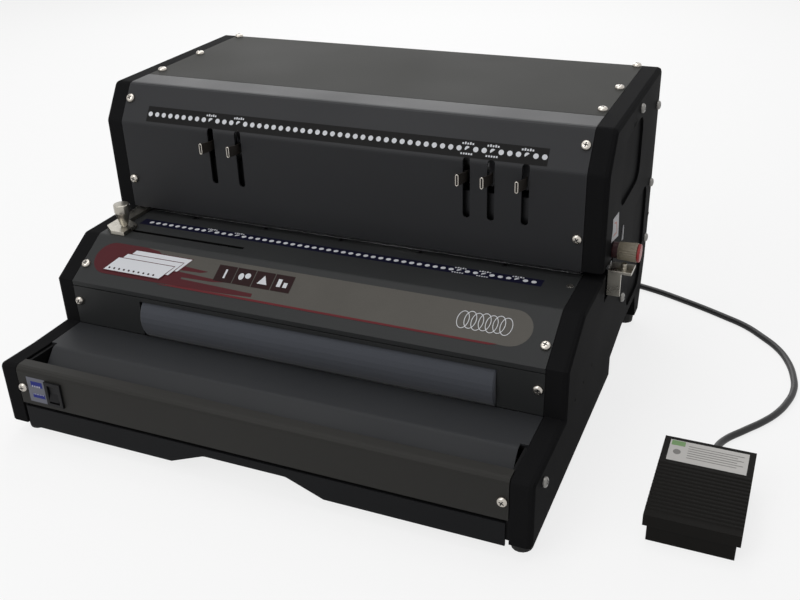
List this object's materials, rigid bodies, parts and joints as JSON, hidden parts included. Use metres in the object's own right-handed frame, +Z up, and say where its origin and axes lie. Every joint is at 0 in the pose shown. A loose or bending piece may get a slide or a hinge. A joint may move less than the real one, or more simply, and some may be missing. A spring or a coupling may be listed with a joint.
{
  "type": "coil binding machine",
  "caption": "Desktop electric punch and coil binding machine with stepped sheet-metal body, foam inserter roller, sliding edge guide, chip drawer, and a foot pedal on a coiled lead.",
  "frame": {"origin": "middle of everything that stands on the table except the cord, at table level", "axes": "+X to the operator's right, +Y to the back of the machine, +Z up"},
  "size_m": [0.5601, 0.4936, 0.2306],
  "materials": {
    "black_satin": "satin black paint",
    "charcoal": "fine textured charcoal paint",
    "cover_grey": "fine textured dark grey paint",
    "fascia_grey": "fine textured dark grey paint",
    "black_plastic": "moulded black plastic",
    "nickel": "nickel plated steel",
    "steel": "ground tool steel",
    "zinc_plate": "zinc plated sheet",
    "foam": "grey-blue foam rubber",
    "rubber": "black rubber",
    "beige": "beige plastic",
    "dial_red": "red plastic",
    "bronze": "sintered bronze",
    "motor_grey": "grey cast housing",
    "board_green": "green laminate",
    "cord_black": "black cord sheath"
  },
  "bodies": {
    "machine": {"left_side_panel": "black_satin", "right_side_panel": "black_satin", "left_frame_plate": "zinc_plate", "right_frame_plate": "zinc_plate", "top_cover": "charcoal", "front_cover": "cover_grey", "deck_panel": "charcoal", "middle_panel": "charcoal", "shelf_tray": "charcoal", "front_fascia": "fascia_grey", "rear_cover": "charcoal", "floor_plate": "zinc_plate", "front_left_foot": "rubber", "front_right_foot": "rubber", "rear_left_foot": "rubber", "rear_right_foot": "rubber", "switch_bezel": "black_plastic", "drive_belt": "rubber", "inserter_motor": "motor_grey", "pin_guide": "steel", "die_plate": "steel", "shaft_bush": "bronze", "gearbox": "motor_grey", "punch_motor": "motor_grey", "control_board": "board_green", "mains_inlet": "black_plastic", "pedal_socket": "black_plastic", "pedal_plug": "black_plastic", "pedal_base": "black_satin", "pedal_hinge_pin": "steel", "pedal_grommet": "rubber", "pedal_switch": "black_plastic", "pedal_spring": "steel", "pedal_cord": "cord_black", "cord_coil": "cord_black", "socket_cord": "cord_black"},
    "drawer": {"chip_drawer": "black_satin"},
    "rocker": {"switch_rocker": "black_plastic"},
    "roller": {"inserter_roller": "foam", "roller_shaft": "steel", "roller_pulley": "black_plastic"},
    "motor_wheel": {"motor_pulley": "steel"},
    "shaft": {"drive_shaft": "steel"},
    "punch": {"punch_bar": "steel", "left_yoke": "steel", "right_yoke": "steel"},
    "guide": {"edge_guide": "nickel", "guide_nut": "steel"},
    "knob": {"guide_knob": "nickel"},
    "dial": {"depth_dial": "beige", "dial_cap": "dial_red", "dial_shaft": "steel"},
    "stop": {"stop_bar": "steel", "stop_bracket": "nickel"},
    "treadle": {"pedal_treadle": "black_satin"},
    "lever_1": {"size_lever_1": "nickel"},
    "lever_2": {"size_lever_2": "nickel"},
    "lever_3": {"size_lever_3": "nickel"},
    "lever_4": {"size_lever_4": "nickel"},
    "lever_5": {"size_lever_5": "nickel"}
  },
  "joints": [
    {"name": "lever_1_slide", "type": "slide", "parent": "machine", "child": "lever_1", "axis": [0, 0, 1], "range_m": [-0.024, 0.006]},
    {"name": "lever_2_slide", "type": "slide", "parent": "machine", "child": "lever_2", "axis": [0, 0, 1], "range_m": [-0.024, 0.006]},
    {"name": "lever_3_slide", "type": "slide", "parent": "machine", "child": "lever_3", "axis": [0, 0, 1], "range_m": [-0.024, 0.006]},
    {"name": "lever_4_slide", "type": "slide", "parent": "machine", "child": "lever_4", "axis": [0, 0, 1], "range_m": [-0.024, 0.006]},
    {"name": "lever_5_slide", "type": "slide", "parent": "machine", "child": "lever_5", "axis": [0, 0, 1], "range_m": [-0.024, 0.006]},
    {"name": "guide_slide", "type": "slide", "parent": "machine", "child": "guide", "axis": [1, 0, 0], "range_m": [0, 0.105]},
    {"name": "knob_turn", "type": "hinge", "parent": "guide", "child": "knob", "pos_m": [-0.23755, -0.048, 0.1219], "axis": [0, 0, 1], "range_deg": [0, 270]},
    {"name": "dial_turn", "type": "hinge", "parent": "machine", "child": "dial", "pos_m": [0.14745, 0.018, 0.134], "axis": [1, 0, 0], "range_deg": [-92, 92]},
    {"name": "stop_slide", "type": "slide", "parent": "machine", "child": "stop", "axis": [0, 1, 0], "range_m": [-0.0015, 0.0015]},
    {"name": "rocker_tilt", "type": "hinge", "parent": "machine", "child": "rocker", "pos_m": [-0.21935, -0.1745, 0.0449], "axis": [1, 0, 0], "range_deg": [0, 16]},
    {"name": "drawer_slide", "type": "slide", "parent": "machine", "child": "drawer", "axis": [0, -1, 0], "range_m": [0, 0.15]},
    {"name": "roller_spin", "type": "hinge", "parent": "machine", "child": "roller", "pos_m": [-0.06035, -0.0848, 0.075], "axis": [1, 0, 0], "continuous": true},
    {"name": "motor_spin", "type": "hinge", "parent": "machine", "child": "motor_wheel", "pos_m": [-0.06035, -0.028, 0.073], "axis": [1, 0, 0], "continuous": true},
    {"name": "shaft_turn", "type": "hinge", "parent": "machine", "child": "shaft", "pos_m": [-0.06035, 0.015, 0.19], "axis": [1, 0, 0], "range_deg": [0, 182]},
    {"name": "punch_slide", "type": "slide", "parent": "machine", "child": "punch", "axis": [0, 0, -1], "range_m": [0, 0.009]},
    {"name": "treadle_press", "type": "hinge", "parent": "machine", "child": "treadle", "pos_m": [0.23765, -0.057, 0.0222], "axis": [1, 0, 0], "range_deg": [0, 4.5], "stiffness_Nm_per_rad": 5, "springref_deg": -2.86, "deforming": ["pedal_spring"]}
  ],
  "couplings": [
    {"joint": "motor_spin", "follows": "roller_spin", "ratio": 1.4444},
    {"joint": "shaft_turn", "follows": "punch_slide", "rad_per_m": 349.07},
    {"joint": "dial_turn", "follows": "stop_slide", "rad_per_m": -1047.2}
  ]
}
